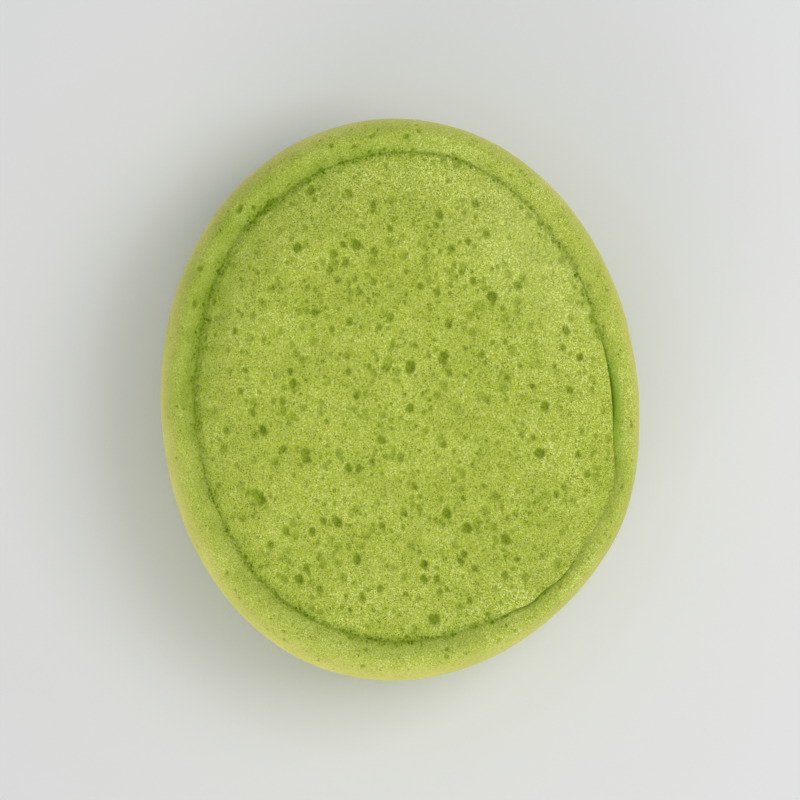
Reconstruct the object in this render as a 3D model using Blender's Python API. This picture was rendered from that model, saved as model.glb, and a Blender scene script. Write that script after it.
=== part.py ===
"""An oval bath sponge, built up from foam pieces that are glued to each other.

A foam cover is wrapped round a filling block. At the front its edge rolls over into a rounded rim and
runs on under the face pad as a flat lip. The pored face pad lies inside the rim, on the lip and the block.
The sponge lies on its back: +Z is the way the face looks, +Y is the long axis, and the origin is the
middle of the flat back. All sizes are in metres, and all angles are in degrees from +X towards +Y.
"""

import math
import random

import bmesh
import bpy

# Outline of the cover at its widest, an oval that is a little narrower at the head end and right side.
SPONGE_LENGTH = 0.130
SPONGE_WIDTH = 0.1106
SPONGE_HEIGHT = 0.040
HEAD_TAPER = 0.012
RIGHT_TAPER = 0.022

# The outline is fuller than the plain oval between its four ends, and has an elbow at the lower right.
CORNER_BULGE = 0.0003
CORNER_ANGLE = 57.5
ELBOW_BULGE = 0.0010
ELBOW_ANGLE = 332.0
ELBOW_SPREAD = 26.0

# Foam cover: a sheet with a floor, a wall and a rolled rim.
FLOOR_THICKNESS = 0.006
WALL_THICKNESS = 0.007
BACK_SHOULDER_INSET = 0.012
BACK_SHOULDER_HEIGHT = 0.014
FRONT_SHOULDER_HEIGHT = 0.011
INSIDE_CORNER = 0.004
RIM_ROLL_DROP = 0.0032
CREST_SHARE = 0.53

# The lip is the cover's turned-in edge, under the face pad.
LIP_THICKNESS = 0.004
LIP_REACH = 0.008

# Face pad. Its edge lies this far in from the outline, which is also what the rim has to fill.
PAD_INSET = 0.0078
PAD_THICKNESS = 0.008
PAD_CORNER = 0.0008
FACE_DROP = 0.0012
FACE_CROWN = 0.0009

# Where the pad's edge lies further in or further out than that: how much, the angle, and the spread.
HEAD_STRETCH = (0.0013, 108.0, 42.0)
FOOT_STRETCH = (0.0015, 254.0, 58.0)
PUSHED_OUT_STRETCH = (-0.0020, 314.0, 26.0)
SIDE_STRETCH = (-0.0011, 345.0, 40.0)

# Here the rim slopes away from the pad's edge sooner and deeper, and leaves an open slit.
SIDE_GAP = 0.0007
SIDE_SLOPE_START = 0.0012
SIDE_SLOPE_DROP = 0.0023
SIDE_GAP_ANGLE = 355.0
SIDE_GAP_SPREAD = 26.0

# Pores that open on the face.
PORE_COUNT = 100
PORE_RADIUS_LEAST = 0.0007
PORE_RADIUS_MOST = 0.0016
PORE_WALL = 0.0007
PORE_MARGIN = 0.0014
PORE_DEPTH_SHARE = 0.8
PORE_TRIES = 4000
PORE_SEED = 11

# Bond lines between the foam pieces.
GLUE_THICKNESS = 0.0004
SEAM_CLEARANCE = 0.0003

# Facets round the oval and along a quarter round, and the angle from which an edge is shaded sharp.
OVAL_STEPS = 72
ROUND_STEPS = 5
CROWN_RINGS = 3
PORE_SIDES = 8
PORE_RINGS = 6
WELD_DISTANCE = 0.000001
SHARP_ANGLE = 40.0

# Heights that follow from the sizes above.
BOND_HEIGHT = GLUE_THICKNESS + 2 * SEAM_CLEARANCE
PAD_TOP = SPONGE_HEIGHT - FACE_DROP
PAD_BOTTOM = PAD_TOP - PAD_THICKNESS
LIP_TOP = PAD_BOTTOM - BOND_HEIGHT
LIP_BOTTOM = LIP_TOP - LIP_THICKNESS
CORE_BOTTOM = FLOOR_THICKNESS + BOND_HEIGHT
CORE_LEDGE = LIP_BOTTOM - BOND_HEIGHT

FOAM_GREEN = (0.37, 0.46, 0.066, 1.0)
COVER_GREEN = (0.36, 0.44, 0.062, 1.0)
CORE_CREAM = (0.62, 0.60, 0.36, 1.0)
GLUE_AMBER = (0.55, 0.47, 0.22, 1.0)
FOAM_ROUGHNESS = 0.9
GLUE_ROUGHNESS = 0.5


def clear_scene():
    """Removes every object that the file opened with."""
    for old in list(bpy.data.objects):
        bpy.data.objects.remove(old, do_unlink=True)


def material(name, colour, roughness):
    """A matt, non-metallic Principled material."""
    made = bpy.data.materials.new(name)
    made.use_nodes = True
    shader = made.node_tree.nodes["Principled BSDF"]
    shader.inputs["Base Color"].default_value = colour
    shader.inputs["Roughness"].default_value = roughness
    shader.inputs["Metallic"].default_value = 0.0
    made.diffuse_color = colour
    return made


def swell(angle, centre, spread):
    """A smooth hump: 1 at the centre angle, falling to 0 at spread degrees on each side of it."""
    off = abs((angle - centre + 180.0) % 360.0 - 180.0)
    if off >= spread:
        return 0.0
    return 0.5 + 0.5 * math.cos(math.pi * off / spread)


def bulge(angle):
    """How far the outline stands out from the plain oval: nothing at its four ends, most between them."""
    turn = math.radians(4 * CORNER_ANGLE)
    corners = CORNER_BULGE * (math.cos(math.radians(4 * angle) - turn) - math.cos(turn))
    return corners + ELBOW_BULGE * swell(angle, ELBOW_ANGLE, ELBOW_SPREAD)


def oval_point(angle, inset):
    """The point at this angle on the sponge's outline, moved in by inset along the oval's normal."""
    t = math.radians(angle)
    cosine = math.cos(t)
    sine = math.sin(t)
    half_width = SPONGE_WIDTH / 2
    half_length = SPONGE_LENGTH / 2
    x = half_width * cosine * (1 - HEAD_TAPER * sine)
    y = half_length * sine * (1 - RIGHT_TAPER * cosine)
    along_x = -half_width * (sine + HEAD_TAPER * math.cos(2 * t))
    along_y = half_length * (cosine - RIGHT_TAPER * math.cos(2 * t))
    length = math.hypot(along_x, along_y)
    inset -= bulge(angle)
    return x - inset * along_y / length, y + inset * along_x / length


def oval_angles():
    """The angles of the facets round the oval."""
    return [360.0 * step / OVAL_STEPS for step in range(OVAL_STEPS)]


def pad_inset(angle):
    """How far in from the outline the face pad's edge stands."""
    stretches = (HEAD_STRETCH, FOOT_STRETCH, PUSHED_OUT_STRETCH, SIDE_STRETCH)
    return PAD_INSET + sum(depth * swell(angle, centre, spread) for depth, centre, spread in stretches)


def openness(angle):
    """How far the slit stands open at this angle, from 0 to 1."""
    return swell(angle, SIDE_GAP_ANGLE, SIDE_GAP_SPREAD)


def rim_width(angle):
    """How far in from the outline the rim's inner wall stands."""
    return pad_inset(angle) - SEAM_CLEARANCE - SIDE_GAP * openness(angle)


def quarter(start, end, first_flat):
    """Points of a quarter ellipse from start to end, leaving start flat or, if not first_flat, upright."""
    points = []
    for step in range(ROUND_STEPS + 1):
        turn = math.pi / 2 * step / ROUND_STEPS
        early = math.sin(turn)
        late = 1 - math.cos(turn)
        share_in, share_up = (early, late) if first_flat else (late, early)
        inset = start[0] + (end[0] - start[0]) * share_in
        height = start[1] + (end[1] - start[1]) * share_up
        points.append((inset, height))
    return points


def cover_section(angle):
    """The cover's section at this angle, as (inset, height), from the back's middle out, up and back in."""
    width = rim_width(angle)
    crest = width * CREST_SHARE - SIDE_SLOPE_START * openness(angle)
    roll_foot = SPONGE_HEIGHT - RIM_ROLL_DROP - SIDE_SLOPE_DROP * openness(angle)
    lip_edge = width + LIP_REACH
    half_lip = LIP_THICKNESS / 2
    section = quarter((BACK_SHOULDER_INSET, 0.0), (0.0, BACK_SHOULDER_HEIGHT), True)
    section += quarter((0.0, SPONGE_HEIGHT - FRONT_SHOULDER_HEIGHT), (crest, SPONGE_HEIGHT), False)
    section += quarter((crest, SPONGE_HEIGHT), (width, roll_foot), True)[1:]
    section += [(width, LIP_TOP), (lip_edge - half_lip, LIP_TOP)]
    section += [(lip_edge, LIP_TOP - half_lip), (lip_edge - half_lip, LIP_BOTTOM)]
    section += [(WALL_THICKNESS, LIP_BOTTOM), (WALL_THICKNESS, FLOOR_THICKNESS + INSIDE_CORNER)]
    section += quarter(section[-1], (WALL_THICKNESS + INSIDE_CORNER, FLOOR_THICKNESS), False)[1:]
    return section


def core_section(angle):
    """The filling block's section: it follows the cover's inside, and has a ledge for the lip."""
    side = WALL_THICKNESS + SEAM_CLEARANCE
    plateau = rim_width(angle) + LIP_REACH + SEAM_CLEARANCE
    section = quarter((side + INSIDE_CORNER, CORE_BOTTOM), (side, CORE_BOTTOM + INSIDE_CORNER), True)
    section += [(side, CORE_LEDGE), (plateau, CORE_LEDGE), (plateau, LIP_TOP)]
    return section


def pad_section(angle):
    """The face pad's edge, from its underside up to the flat of its face."""
    edge = pad_inset(angle)
    section = [(edge + PAD_CORNER, PAD_BOTTOM), (edge, PAD_BOTTOM + PAD_CORNER)]
    section += quarter((edge, PAD_TOP - PAD_CORNER), (edge + PAD_CORNER, PAD_TOP), False)
    return section


def film_section(outer, bottom):
    """The edge of a flat glue film whose underside is at this height."""
    return [(outer, bottom), (outer, bottom + GLUE_THICKNESS)]


def section_loops(section_at):
    """Closed loops of points round the oval, one for each point of the section."""
    sections = [(angle, section_at(angle)) for angle in oval_angles()]
    loops = []
    for station in range(len(sections[0][1])):
        loop = []
        for angle, section in sections:
            inset, height = section[station]
            loop.append((*oval_point(angle, inset), height))
        loops.append(loop)
    return loops


def crown_loops(edge_loop):
    """Loops that close a loop inwards and rise to the crown in the middle of the face."""
    loops = []
    for ring in range(1, CROWN_RINGS + 1):
        share = 1 - ring / (CROWN_RINGS + 1)
        loops.append([(x * share, y * share, z + FACE_CROWN * (1 - share**2)) for x, y, z in edge_loop])
    return loops


def add_ring(shape, loop):
    """Adds a closed loop of points with its edges, and returns its corners in order."""
    ring = [shape.verts.new(point) for point in loop]
    for before, corner in zip(ring, ring[1:] + ring[:1]):
        shape.edges.new((before, corner))
    return ring


def ring_edges(shape, ring):
    """The edges that join each corner of a ring to the next."""
    return [shape.edges.get(pair) for pair in zip(ring, ring[1:] + ring[:1])]


def extrude_ring(shape, ring, loop):
    """Extrudes a ring to the points of the next loop, and returns the new ring in the same order."""
    place = {corner: number for number, corner in enumerate(ring)}
    grown = bmesh.ops.extrude_edge_only(shape, edges=ring_edges(shape, ring))["geom"]
    new_ring = [None] * len(ring)
    for corner in grown:
        if not isinstance(corner, bmesh.types.BMVert):
            continue
        number = next(place[e.other_vert(corner)] for e in corner.link_edges if e.other_vert(corner) in place)
        corner.co = loop[number]
        new_ring[number] = corner
    return new_ring


def finished(name, shape, finish, smooth=True):
    """Turns a bmesh into an object of that name and returns it."""
    bmesh.ops.recalc_face_normals(shape, faces=shape.faces)
    mesh = bpy.data.meshes.new(name)
    shape.to_mesh(mesh)
    shape.free()
    if smooth:
        mesh.shade_smooth()
        mesh.set_sharp_from_angle(angle=math.radians(SHARP_ANGLE))
    mesh.materials.append(finish)
    made = bpy.data.objects.new(name, mesh)
    bpy.context.scene.collection.objects.link(made)
    return made


def lofted(name, loops, finish, closed_ring=False):
    """A solid through these loops: capped at both ends, or joined from the last loop to the first."""
    shape = bmesh.new()
    first = ring = add_ring(shape, loops[0])
    for loop in loops[1:]:
        ring = extrude_ring(shape, ring, loop)
    if closed_ring:
        extrude_ring(shape, ring, loops[0])
        bmesh.ops.remove_doubles(shape, verts=shape.verts, dist=WELD_DISTANCE)
    else:
        bmesh.ops.edgeloop_fill(shape, edges=ring_edges(shape, first))
        bmesh.ops.edgeloop_fill(shape, edges=ring_edges(shape, ring))
    return finished(name, shape, finish)


def foam_cover(finish):
    """The wrapped sheet: floor, wall, rolled rim and lip in one piece."""
    return lofted("outer_cover", section_loops(cover_section), finish)


def filling_core(finish):
    """The block that gives the sponge its thickness."""
    return lofted("inner_core", section_loops(core_section), finish)


def face_reach():
    """Half the width and half the length of the oval that fits in the flat of the face everywhere."""
    edge = max(pad_inset(angle) for angle in oval_angles()) + PAD_CORNER
    return SPONGE_WIDTH / 2 - edge, SPONGE_LENGTH / 2 - edge


def pore_places():
    """Places and radii of the pores, scattered with a wall of foam left between them."""
    chance = random.Random(PORE_SEED)
    reach_x, reach_y = face_reach()
    places = []
    for _ in range(PORE_TRIES):
        if len(places) == PORE_COUNT:
            break
        turn = chance.uniform(0, math.tau)
        out = math.sqrt(chance.random())
        radius = PORE_RADIUS_LEAST + (PORE_RADIUS_MOST - PORE_RADIUS_LEAST) * chance.random() ** 2
        x = (reach_x - PORE_MARGIN - radius) * out * math.cos(turn)
        y = (reach_y - PORE_MARGIN - radius) * out * math.sin(turn)
        if all(math.hypot(x - u, y - v) > radius + r + PORE_WALL for u, v, r in places):
            places.append((x, y, radius))
    return places


def pore_cutter():
    """Round cutters for the pores, in one object that the build leaves out."""
    shape = bmesh.new()
    reach_x, reach_y = face_reach()
    for x, y, radius in pore_places():
        share_out = math.hypot(x / reach_x, y / reach_y)
        face_height = PAD_TOP + FACE_CROWN * (1 - share_out**2)
        made = bmesh.ops.create_uvsphere(shape, u_segments=PORE_SIDES, v_segments=PORE_RINGS, radius=radius)
        middle = face_height + radius * (1 - PORE_DEPTH_SHARE)
        bmesh.ops.translate(shape, verts=made["verts"], vec=(x, y, middle))
    cutter = finished("pore_cutter", shape, bpy.data.materials["glue"], smooth=False)
    cutter.hide_render = True
    cutter.display_type = "WIRE"
    return cutter


def pored_pad(finish):
    """The face pad, slightly crowned, with the pores cut into its face."""
    loops = section_loops(pad_section)
    pad = lofted("face_pad", loops + crown_loops(loops[-1]), finish)
    cut = pad.modifiers.new("pores", "BOOLEAN")
    cut.operation = "DIFFERENCE"
    cut.solver = "EXACT"
    cut.object = pore_cutter()
    return pad


def glue_films(finish):
    """The three bond lines: under the core, under the lip and under the face pad."""
    floor_edge = WALL_THICKNESS + INSIDE_CORNER
    floor = film_section(floor_edge, FLOOR_THICKNESS + SEAM_CLEARANCE)
    lofted("floor_glue_film", section_loops(lambda angle: floor), finish)

    face_bottom = LIP_TOP + SEAM_CLEARANCE
    face = section_loops(lambda angle: film_section(pad_inset(angle) + PAD_CORNER, face_bottom))
    lofted("face_glue_film", face, finish)

    ring_bottom = CORE_LEDGE + SEAM_CLEARANCE
    ring_top = ring_bottom + GLUE_THICKNESS
    outer = WALL_THICKNESS + 2 * SEAM_CLEARANCE

    def ring_section(angle):
        inner = rim_width(angle) + LIP_REACH - LIP_THICKNESS / 2
        return [(outer, ring_bottom), (outer, ring_top), (inner, ring_top), (inner, ring_bottom)]

    lofted("lip_glue_ring", section_loops(ring_section), finish, closed_ring=True)


def main():
    clear_scene()
    glue = material("glue", GLUE_AMBER, GLUE_ROUGHNESS)
    foam_cover(material("cover_foam", COVER_GREEN, FOAM_ROUGHNESS))
    filling_core(material("core_foam", CORE_CREAM, FOAM_ROUGHNESS))
    pored_pad(material("face_foam", FOAM_GREEN, FOAM_ROUGHNESS))
    glue_films(glue)


main()
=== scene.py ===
"""Dresses the bath sponge: a wrapped foam cover, a pored face pad and a filling block, seen from above.

Everything is in metres in the sponge's own frame. Its back lies on the floor, +Z is the way the face looks
and +Y is the long axis. Angles are in degrees from +X towards +Y.

An inset is a distance in from the outline. A stretch is a part of the way round, written as how much it
adds, the angle of its middle, and its spread. A pair of limits says where something starts and where it ends.
"""

import math
import random

import bmesh
import bpy
import numpy as np
from mathutils import Matrix, Vector, noise
from mathutils.kdtree import KDTree


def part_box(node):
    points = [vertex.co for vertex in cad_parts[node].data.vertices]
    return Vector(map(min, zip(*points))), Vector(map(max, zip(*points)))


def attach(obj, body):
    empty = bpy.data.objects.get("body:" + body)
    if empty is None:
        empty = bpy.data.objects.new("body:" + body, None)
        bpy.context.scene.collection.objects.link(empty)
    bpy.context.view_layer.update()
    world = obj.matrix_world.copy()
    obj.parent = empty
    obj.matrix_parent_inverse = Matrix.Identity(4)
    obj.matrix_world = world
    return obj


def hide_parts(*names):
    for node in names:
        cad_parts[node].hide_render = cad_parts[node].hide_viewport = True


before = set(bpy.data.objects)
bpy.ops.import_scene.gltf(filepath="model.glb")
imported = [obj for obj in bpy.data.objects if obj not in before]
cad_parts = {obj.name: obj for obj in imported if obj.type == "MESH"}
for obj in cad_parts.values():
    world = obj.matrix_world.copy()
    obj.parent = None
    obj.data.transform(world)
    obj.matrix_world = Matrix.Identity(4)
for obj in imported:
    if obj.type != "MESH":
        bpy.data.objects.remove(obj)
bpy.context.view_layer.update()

COVER_LOW, COVER_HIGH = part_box("outer_cover")
PAD_LOW, PAD_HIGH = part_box("face_pad")
CORE_LOW, CORE_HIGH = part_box("inner_core")

# The outline: an oval, a little narrower at the head end and on the right, with fuller corners and an elbow.
SPONGE_WIDTH = COVER_HIGH.x - COVER_LOW.x
SPONGE_LENGTH = COVER_HIGH.y - COVER_LOW.y
SPONGE_HEIGHT = COVER_HIGH.z
HEAD_TAPER = 0.012
RIGHT_TAPER = 0.022
CORNER_BULGE = 0.0003
CORNER_ANGLE = 57.5
ELBOW = (0.0010, 332.0, 26.0)

# The cover's shoulders, floor and wall, and the lip under the face pad.
BACK_SHOULDER_INSET = 0.012
BACK_SHOULDER_HEIGHT = 0.014
FRONT_SHOULDER_HEIGHT = 0.011
FLOOR_THICKNESS = 0.006
WALL_THICKNESS = 0.007
INSIDE_CORNER = 0.004
LIP_THICKNESS = 0.004
LIP_REACH = 0.008
BOND_HEIGHT = 0.001
SEAM_CLEARANCE = 0.0003

# The rim's roll, and the stretch on the right where it slopes away from the pad's edge and leaves a slit.
CREST_SHARE = 0.53
SIDE_SLOPE_START = 0.0012
SIDE_GAP_ANGLE = 357.0
SIDE_GAP_SPREAD = 20.0
SIDE_GAP_REACH = 0.0030
SIDE_GAP_FOOT = SPONGE_HEIGHT - 0.0026
SIDE_GAP_FOOT_STRETCHES = ((-0.0004, 1.0, 9.0), (0.0009, 346.0, 12.0))

# The face pad's edge, and the stretches where it lies further in or out.
PAD_INSET = 0.0078
EDGE_STRETCHES = (
    (0.0013, 108.0, 42.0), (0.0015, 254.0, 58.0), (-0.0020, 314.0, 26.0), (-0.0011, 345.0, 40.0),
    (-0.0017, 337.5, 14.0),
)
FACE_CROWN = 0.0009
PAD_TOP = PAD_HIGH.z - FACE_CROWN
PAD_BOTTOM = PAD_LOW.z
LIP_TOP = PAD_BOTTOM - BOND_HEIGHT
LIP_BOTTOM = LIP_TOP - LIP_THICKNESS

# The pad's top corner is cut crisp along the slit and the pushed-out lip, from FULLY_CRISP of either on.
# Elsewhere it sinks into a valley that it shares with the rim, deeper or shallower in stretches.
SOFT_CORNER = 0.0020
CRISP_CORNER = 0.0005
FULLY_CRISP = 0.25
VALLEY_DROP = 0.00045
VALLEY_STRETCHES = ((0.0007, 165.0, 80.0), (0.0004, 262.0, 40.0), (-0.0003, 330.0, 14.0))
VALLEY_ROUNDNESS = 0.7

# The thin wavy stretch at the lower right that is pushed out over the rim.
PUSHED_LIP_ANGLE = 307.0
PUSHED_LIP_SPREAD = 15.0
PUSHED_LIP_LIFT = 0.0003
PUSHED_LIP_EDGE = 0.0002
PUSHED_LIP_WAVE = 0.0003
PUSHED_LIP_WAVES = 5.5

# The seam is closed all round except at the slit: the pad's edge laps over the rim's foot, just clear of it.
LAP = 0.00015
LAP_CLEARANCE = 0.00006

# The seam wanders: how far, in how many waves, and from where.
SEAM_WAVES = ((0.00013, 9, 40.0), (0.00009, 17, 130.0), (0.00006, 31, 250.0), (0.00006, 67, 10.0))

# Facets. A roll's last station but one lies at ROLL_END of its way, and WELD joins corners that meet.
ROUND_THE_COVER = 720
ROUND_THE_CORE = 180
FACE_BLOCK_CELLS = 190
FACE_BLOCK_SHARE = 0.55
FACE_BLOCK_ROUNDNESS = 0.5
FACE_BLOCK_START = -135.0
FACE_RINGS = 60
SEAM_STEP = 0.5
ROLL_END = 0.99
WELD = 1e-6

# The foam's unevenness: how far it rises and falls, how far apart its bumps are, and its seed.
COVER_SWELLS = (0.00012, 0.011, 1)
COVER_BUMPS = (0.00007, 0.0024, 2)
FACE_SWELLS = (0.00016, 0.017, 3)
FACE_BUMPS = (0.00006, 0.0021, 4)

SEED_SHIFT = (7.31, 3.17, 5.71)

# Where it sets in on the cover: above the flat back, and above the lip or anywhere on the outer skin.
UNEVEN_BACK = (0.0, 0.006)
UNEVEN_ROLL = (LIP_TOP, LIP_TOP + 0.004)
OUTER_SKIN = 0.93

# On the pad: how far out it ends, how far out the pushed-out lip is lifted, the heights over which the crown
# sets in, and how far below the soft corner the cut edge shows.
EVEN_BRIM = (0.90, 1.0)
LIFTED_BRIM = (0.90, 0.99)
FACE_SIDE = (PAD_TOP - 0.004, PAD_TOP - 0.001)
CUT_EDGE = (0.0001, 0.0005)

# The camera stands over the sponge, a little to the left and below, and turned so that the head leans left.
CAMERA_DISTANCE = 1.0
CAMERA_LEFT = 3.0
CAMERA_DOWN = 2.3
CAMERA_TURN = 1.85
SENSOR_WIDTH = 36.0
AIM = Vector((0.00044, 0.00005, 0.0215))
PHOTO_PIXELS = 800
SPONGE_PIXELS = 557.1
PIXEL = SPONGE_LENGTH / SPONGE_PIXELS

# The lights: place, size, power and colour. The pale room gives the rest.
FOOT_SOFTBOX = ((-0.56, -1.15, 0.45), 1.0, 6.3, (1.0, 0.985, 0.96))
RIGHT_SOFTBOX = ((0.24, 0.05, 0.50), 0.3, 1.0, (1.0, 1.0, 1.0))
LIGHT_AIM = Vector((0, 0, 0.02))
ROOM_COLOUR = (0.95, 0.97, 1.0, 1.0)
ROOM_STRENGTH = 0.60
FLOOR_COLOUR = (0.78, 0.78, 0.77, 1.0)
FLOOR_RADIUS = 3.0
FLOOR_SIDES = 96

# Pores on the face and the rim, given in the photograph: pixels across, down, and in radius.
DEEP_PORES = (
    (545, 406, 5.0), (443, 357, 6.0), (410, 367, 6.0), (570, 390, 4.0), (410, 408, 4.6), (443, 444, 4.2),
    (540, 453, 5.4), (447, 513, 5.2), (467, 528, 5.6), (505, 539, 5.2), (434, 619, 6.4), (305, 452, 5.2),
    (306, 459, 4.6), (260, 498, 6.6), (254, 493, 4.6), (293, 383, 4.6), (263, 430, 4.8), (299, 579, 5.2),
    (337, 522, 4.8), (357, 559, 4.8), (297, 247, 4.8), (356, 244, 5.0), (492, 296, 5.4), (348, 468, 4.2),
    (424, 579, 4.2), (424, 564, 4.2), (464, 554, 4.0), (461, 561, 3.8), (381, 440, 4.6), (580, 357, 4.4),
)
OPEN_PORES = (
    (482, 355, 4.0), (448, 372, 4.6), (563, 347, 3.8), (532, 386, 3.4), (533, 438, 3.8), (578, 454, 3.8),
    (592, 454, 3.2), (587, 474, 4.2), (400, 457, 5.0), (414, 486, 4.0), (453, 480, 3.0), (419, 508, 3.6),
    (404, 513, 3.8), (556, 494, 3.8), (564, 487, 3.6), (475, 568, 4.0), (437, 579, 4.2), (517, 559, 3.4),
    (505, 575, 4.4), (406, 594, 3.2), (440, 592, 3.6), (447, 589, 3.2), (470, 601, 3.6), (488, 614, 3.4),
    (467, 614, 3.0), (350, 610, 3.0), (290, 371, 3.8), (282, 401, 4.6), (240, 391, 3.8), (245, 370, 3.4),
    (252, 412, 4.2), (226, 430, 4.0), (327, 445, 3.2), (283, 449, 4.2), (358, 468, 4.4), (372, 461, 4.0),
    (386, 367, 4.8), (369, 367, 3.8), (348, 371, 4.0), (248, 492, 3.6), (323, 521, 4.2), (312, 531, 4.0),
    (382, 526, 4.0), (306, 568, 4.2), (270, 545, 4.0), (320, 589, 4.2), (362, 597, 4.4), (380, 589, 3.8),
    (286, 531, 4.4), (356, 395, 4.2), (343, 244, 3.6), (374, 251, 4.4), (333, 254, 4.6), (345, 262, 4.2),
    (330, 269, 3.8), (257, 272, 3.0), (390, 228, 3.6), (373, 204, 3.8), (373, 210, 3.4), (349, 193, 4.4),
    (314, 199, 3.0), (311, 190, 4.6), (273, 287, 3.0), (315, 312, 4.2), (390, 317, 4.6), (349, 322, 4.4),
    (332, 329, 3.6), (235, 330, 3.4), (379, 326, 4.0), (475, 203, 4.6), (439, 214, 4.6), (436, 225, 3.4),
    (451, 248, 4.2), (468, 241, 3.8), (486, 233, 4.0), (518, 285, 4.6), (473, 281, 4.0), (461, 271, 3.8),
    (437, 292, 4.8), (420, 286, 3.8), (448, 324, 4.8), (566, 330, 4.6), (415, 345, 3.6), (429, 334, 3.0),
    (507, 378, 4.0), (392, 345, 4.0), (388, 366, 4.0), (346, 596, 3.0), (463, 498, 3.0),
)
FAINT_PORES = (
    (537, 362, 5.2), (504, 384, 6.6), (458, 409, 6.8), (480, 397, 5.0), (479, 454, 4.6), (522, 397, 4.0),
    (455, 403, 4.4), (394, 567, 4.8), (399, 615, 3.4), (424, 237, 4.2), (517, 311, 4.2), (442, 553, 4.0),
    (473, 417, 4.2), (412, 473, 4.4), (553, 437, 4.0), (567, 435, 3.8), (435, 453, 3.8), (545, 494, 5.0),
    (575, 395, 3.6), (440, 583, 4.0), (261, 552, 4.4), (284, 556, 4.0), (351, 514, 4.4), (297, 449, 4.0),
    (384, 455, 4.6), (262, 382, 3.6), (218, 317, 5.4), (372, 382, 3.6), (349, 406, 3.8), (254, 459, 4.4),
    (240, 484, 4.4), (300, 246, 4.0), (284, 303, 4.0), (349, 299, 4.0), (384, 311, 5.0), (505, 264, 4.2),
    (427, 272, 4.0), (451, 277, 3.8), (571, 299, 4.6), (509, 273, 4.4), (560, 407, 3.2), (530, 559, 3.4),
)
RIM_PORES = (
    (239, 208, 4.8), (195, 304, 4.0), (200, 269, 3.4), (407, 136, 3.4), (451, 160, 4.0), (331, 145, 3.2),
)

# Depths of the pores, as shares of their radius, and how much wider than it looks each one is sunk.
DEEP = 1.02
OPEN = 0.80
SMALL = 0.65
SHALLOW = 0.55
FAINT = 0.43
PORE_SOFTNESS = 1.16

# A pore is longer one way and ragged: its lean and length, how ragged, how fine, and how far that reaches.
# The bowl is a power of how far within it a corner lies, and the painted shade is full well before its
# middle.
PORE_LEAN = 0.9
PORE_LENGTH = (0.03, 0.20)
PORE_RAGS = 0.30
PORE_RAG_SIZE = 0.0008
PORE_REACH = 1.45
PORE_BOWL = 0.75
PORE_SHADE = 1.25

# Small pores, scattered by rule: how many, and their least and greatest radius.
SMALL_PORES = (620, 0.00028, 0.00070)
SHALLOW_PORES = (340, 0.0006, 0.0012)
CREASE_PORES = (240, 0.0002, 0.0006)
COVER_PORES = (260, 0.0003, 0.0007)
CORE_PORES = (160, 0.0016, 0.0030)

# Where they open: how far out on the cover, how far down the face, and how near to the seam, which is 1.
PORED_SKIN = 0.9
FACE_PORES_DEPTH = 0.0004
COVER_PORES_NEAR = 0.2
FACE_PORES_NEAR = 0.4
COVER_TEARS_NEAR = 0.3
FACE_TEARS_NEAR = 0.2

# Seeds for where the small pores lie, and for the leans of all pores.
COVER_SEED = 3
PORE_SEED = 5
FACE_SEED = 8
CORE_SEED = 21

# How far the crease's torn foam reaches from the seam, and its faint painted shade, and where they reach
# further.
CREASE_REACH = 0.0014
CREASE_STRETCHES = (
    (0.0006, 160.0, 75.0), (0.0004, 255.0, 50.0), (0.0006, 10.0, 15.0), (-0.0004, 62.0, 40.0),
)
SHADE_REACH = 0.0030
SHADE_STRETCHES = ((0.0050, 150.0, 92.0), (0.0012, 218.0, 40.0), (0.0026, 280.0, 24.0))
SHADE_SHARE = 0.45
SHADE_SHARE_STRETCHES = (
    (0.40, 150.0, 86.0), (-0.25, 60.0, 40.0), (0.05, 218.0, 40.0), (0.20, 280.0, 24.0),
)
CREASE_HEIGHTS = (SPONGE_HEIGHT - 0.010, SPONGE_HEIGHT - 0.006)
FIRM_SEAM = (0.6, 0.9)

# Where the crease is less torn, how much its painted shade fades there, and what counts as torn.
QUIET_CREASES = ((0.95, 331.0, 26.0), (0.29, 205.0, 30.0), (0.25, 42.0, 20.0))
QUIET_SHADE = 0.5
TORN_LIMITS = (0.1, 0.3)

# The shade under the pushed-out lip, and how open the slit is where the closed crease's marks fade.
LIP_SHADE_REACH = 0.0013
LIP_SHADE_SHARE = 0.5
CLOSED_SEAM = (0.3, 0.9)

# The rim's inner half has painted shade on the upper left, where less light falls. Its outer half and the
# cover's side have a paler painted sheen.
PAINTED_RIM_SHADE = (0.42, 132.0, 90.0)
RIM_SHADE_FULL = (0.0, 0.6)
RIM_SHADE_SHARES = (0.5, 1.0)
SHEEN_RIM_SHARES = (0.45, 1.0)
SHEEN_HEIGHTS = (0.020, 0.031)
LEAST_SHEEN = 0.35

# The face's outer part has painted light at the upper right and painted shade on the upper left.
PAINTED_FACE_LIGHT = (0.16, 42.0, 50.0)
FACE_LIGHT_SHARES = (0.5, 0.9)
PAINTED_FACE_SHADE = (0.17, 145.0, 85.0)
FACE_SHADE_SHARES = (0.65, 0.9)

# The foam's patterns, in features to a metre, and where its grain is coarser.
GRAIN_FINENESS = 1.9
TEARS_PER_METRE = 1300.0
PATCHES_PER_METRE = 260.0
TONES_PER_METRE = 90.0
HEAD_STRETCH = (0.030, 0.048)
FOOT_STRETCH = (-0.048, -0.030)
RIGHT_STRETCH = (0.0, 0.03)

# Colours that the foams share.
# Painted sheen on the rim's outer half and the cover's side: its struts and holes.
PAINTED_SHEEN_STRUT = (0.75, 0.68, 0.19, 1.0)
PAINTED_SHEEN_HOLE = (0.34, 0.31, 0.04, 1.0)
# Painted light: glints on odd struts, and the face's lit upper right.
PAINTED_LIGHT_PALE = (0.76, 0.82, 0.28, 1.0)
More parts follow.
